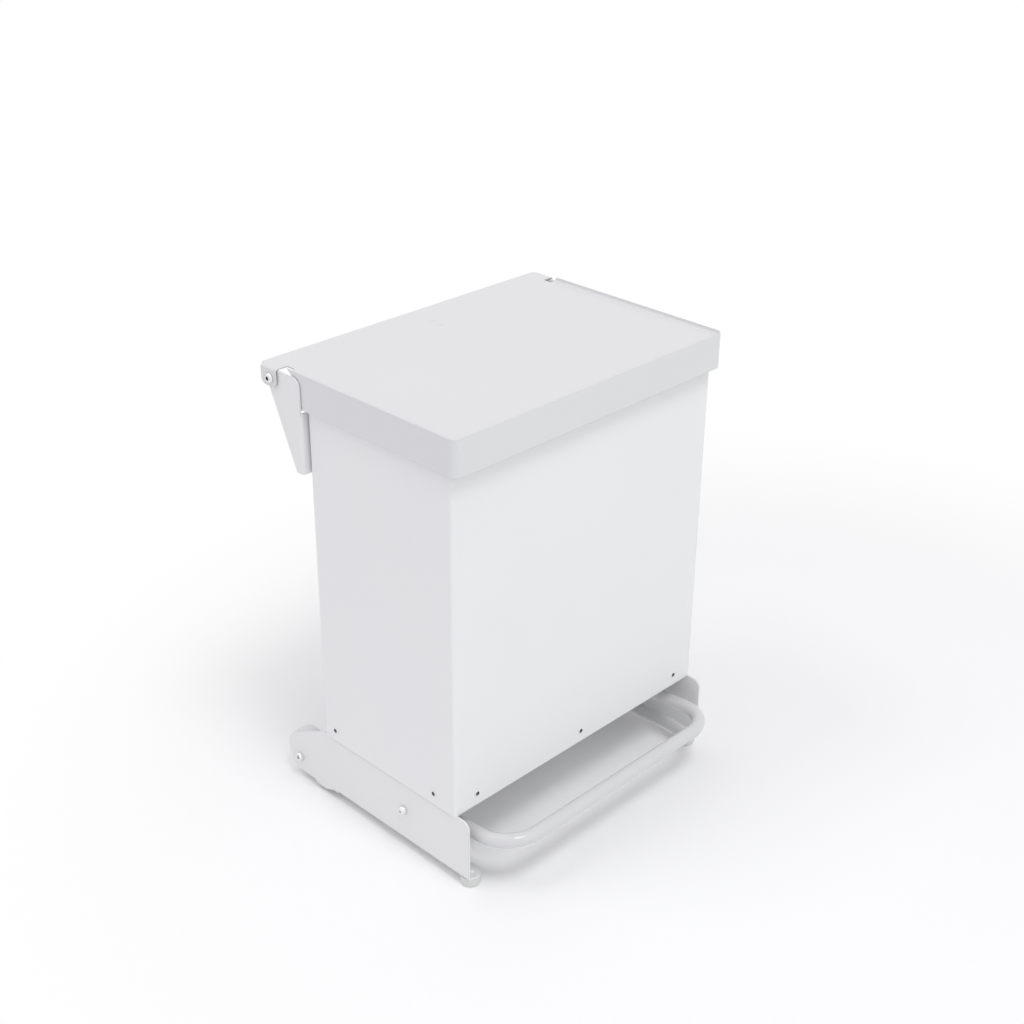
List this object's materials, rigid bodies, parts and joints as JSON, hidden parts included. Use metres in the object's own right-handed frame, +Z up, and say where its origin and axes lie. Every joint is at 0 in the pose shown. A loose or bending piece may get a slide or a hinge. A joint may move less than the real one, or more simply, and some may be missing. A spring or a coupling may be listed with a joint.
{
  "type": "pedal waste bin",
  "caption": "Free-standing sheet-steel waste bin: white box body on a low frame with a bent-tube foot pedal, a push rod behind and a rear-hinged lid, wheels at the rear.",
  "frame": {"origin": "on the floor under the middle of the bin's overall box", "axes": "+Z up, -Y towards the front where the pedal is, +X to the right of someone who looks along +Y"},
  "size_m": [0.4226, 0.361, 0.533],
  "materials": {
    "white_paint": "satin white powder coat",
    "grey_paint": "satin pale grey powder coat",
    "zinc_steel": "zinc plated",
    "bright_bolt": "bright plated",
    "pale_plastic": "moulded, satin",
    "grey_rubber": "matt moulded rubber"
  },
  "bodies": {
    "frame": {"base_side_left": "grey_paint", "base_side_right": "grey_paint", "base_tie": "grey_paint", "rear_cross_channel": "grey_paint", "rear_upright_left": "grey_paint", "rear_upright_right": "grey_paint", "front_foot_left": "pale_plastic", "front_foot_right": "pale_plastic", "foot_screws": "zinc_steel", "rear_axle": "zinc_steel", "axle_spacers": "pale_plastic", "axle_collars": "zinc_steel", "axle_caps": "bright_bolt", "pivot_bolts": "bright_bolt", "pivot_nuts": "zinc_steel", "hinge_yoke": "grey_paint", "yoke_rivets": "grey_paint", "hinge_bolts": "bright_bolt", "hinge_bushes": "pale_plastic", "hinge_nuts": "zinc_steel", "body_shell": "white_paint", "body_base": "white_paint", "body_rivets": "white_paint"},
    "lid": {"lid_panel": "grey_paint", "lid_band": "grey_paint", "lid_bracket": "grey_paint", "lid_pin": "zinc_steel", "lid_pin_clip": "zinc_steel", "lid_buffers": "grey_rubber"},
    "pedal": {"pedal_tube": "grey_paint", "pedal_spindle": "grey_paint", "spindle_bushes": "pale_plastic", "pedal_lever": "grey_paint", "lever_pin": "zinc_steel"},
    "push_rod": {"push_rod": "zinc_steel"},
    "left_wheel": {"wheel_left": "pale_plastic", "tyre_left": "grey_rubber"},
    "right_wheel": {"wheel_right": "pale_plastic", "tyre_right": "grey_rubber"}
  },
  "joints": [
    {"name": "lid_hinge", "type": "hinge", "parent": "frame", "child": "lid", "pos_m": [0, 0.1455, 0.518], "axis": [-1, 0, 0], "range_deg": [0, 80]},
    {"name": "pedal_pivot", "type": "hinge", "parent": "frame", "child": "pedal", "pos_m": [0, -0.0314, 0.0515], "axis": [1, 0, 0], "range_deg": [0, 9.16]},
    {"name": "rod_pivot", "type": "hinge", "parent": "lid", "child": "push_rod", "pos_m": [0.004, 0.13018, 0.50514], "axis": [1, 0, 0], "range_deg": [0, 80]},
    {"name": "left_wheel_spin", "type": "hinge", "parent": "frame", "child": "left_wheel", "pos_m": [-0.1791, 0.1505, 0.03], "axis": [1, 0, 0], "continuous": true},
    {"name": "right_wheel_spin", "type": "hinge", "parent": "frame", "child": "right_wheel", "pos_m": [0.1791, 0.1505, 0.03], "axis": [1, 0, 0], "continuous": true}
  ],
  "couplings": [
    {"joint": "pedal_pivot", "follows": "lid_hinge", "ratio": 0.11445},
    {"joint": "rod_pivot", "follows": "lid_hinge", "ratio": 1}
  ]
}
